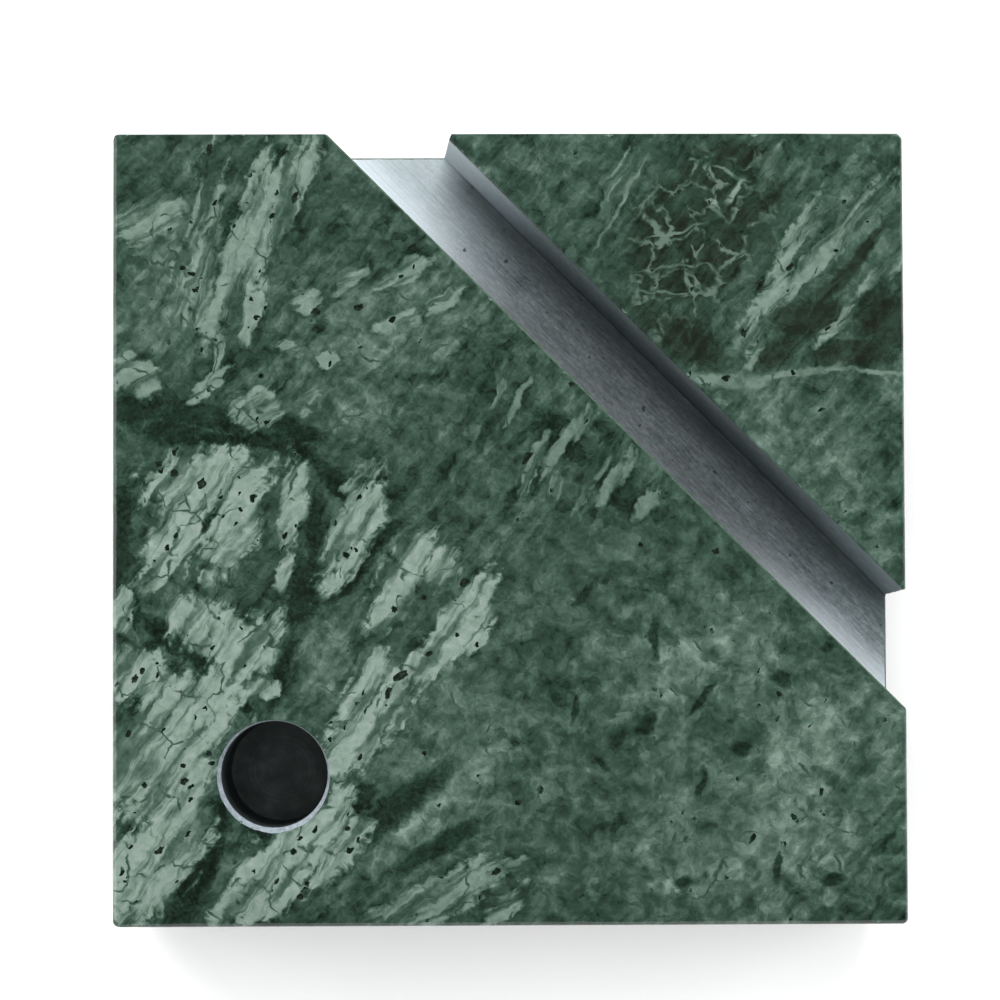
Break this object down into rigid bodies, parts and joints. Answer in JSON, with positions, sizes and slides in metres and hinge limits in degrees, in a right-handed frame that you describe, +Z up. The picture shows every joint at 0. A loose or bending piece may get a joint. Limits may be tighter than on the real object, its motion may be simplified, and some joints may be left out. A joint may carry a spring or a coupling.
{
  "type": "desk card and pen holder",
  "caption": "Square polished green marble desk block with a diagonal business-card slot and a blind pen hole, on round felt pads.",
  "frame": {"origin": "on the surface the holder stands on, under the middle of the square block", "axes": "+Z up; +Y to the rear side and +X to the right side, which are the two sides that the slot's ends open in"},
  "size_m": [0.1, 0.1, 0.0322],
  "materials": {
    "marble": "polished green marble, with a sawn slot and a drilled hole left grey and matt",
    "felt": "dense pressed felt, charcoal",
    "adhesive": "thin layer of pale acrylic adhesive"
  },
  "bodies": {
    "root": {"marble_block": "marble", "felt_pad_front_left": "felt", "adhesive_front_left": "adhesive", "felt_pad_front_right": "felt", "adhesive_front_right": "adhesive", "felt_pad_rear_left": "felt", "adhesive_rear_left": "adhesive", "felt_pad_rear_right": "felt", "adhesive_rear_right": "adhesive"}
  },
  "joints": []
}
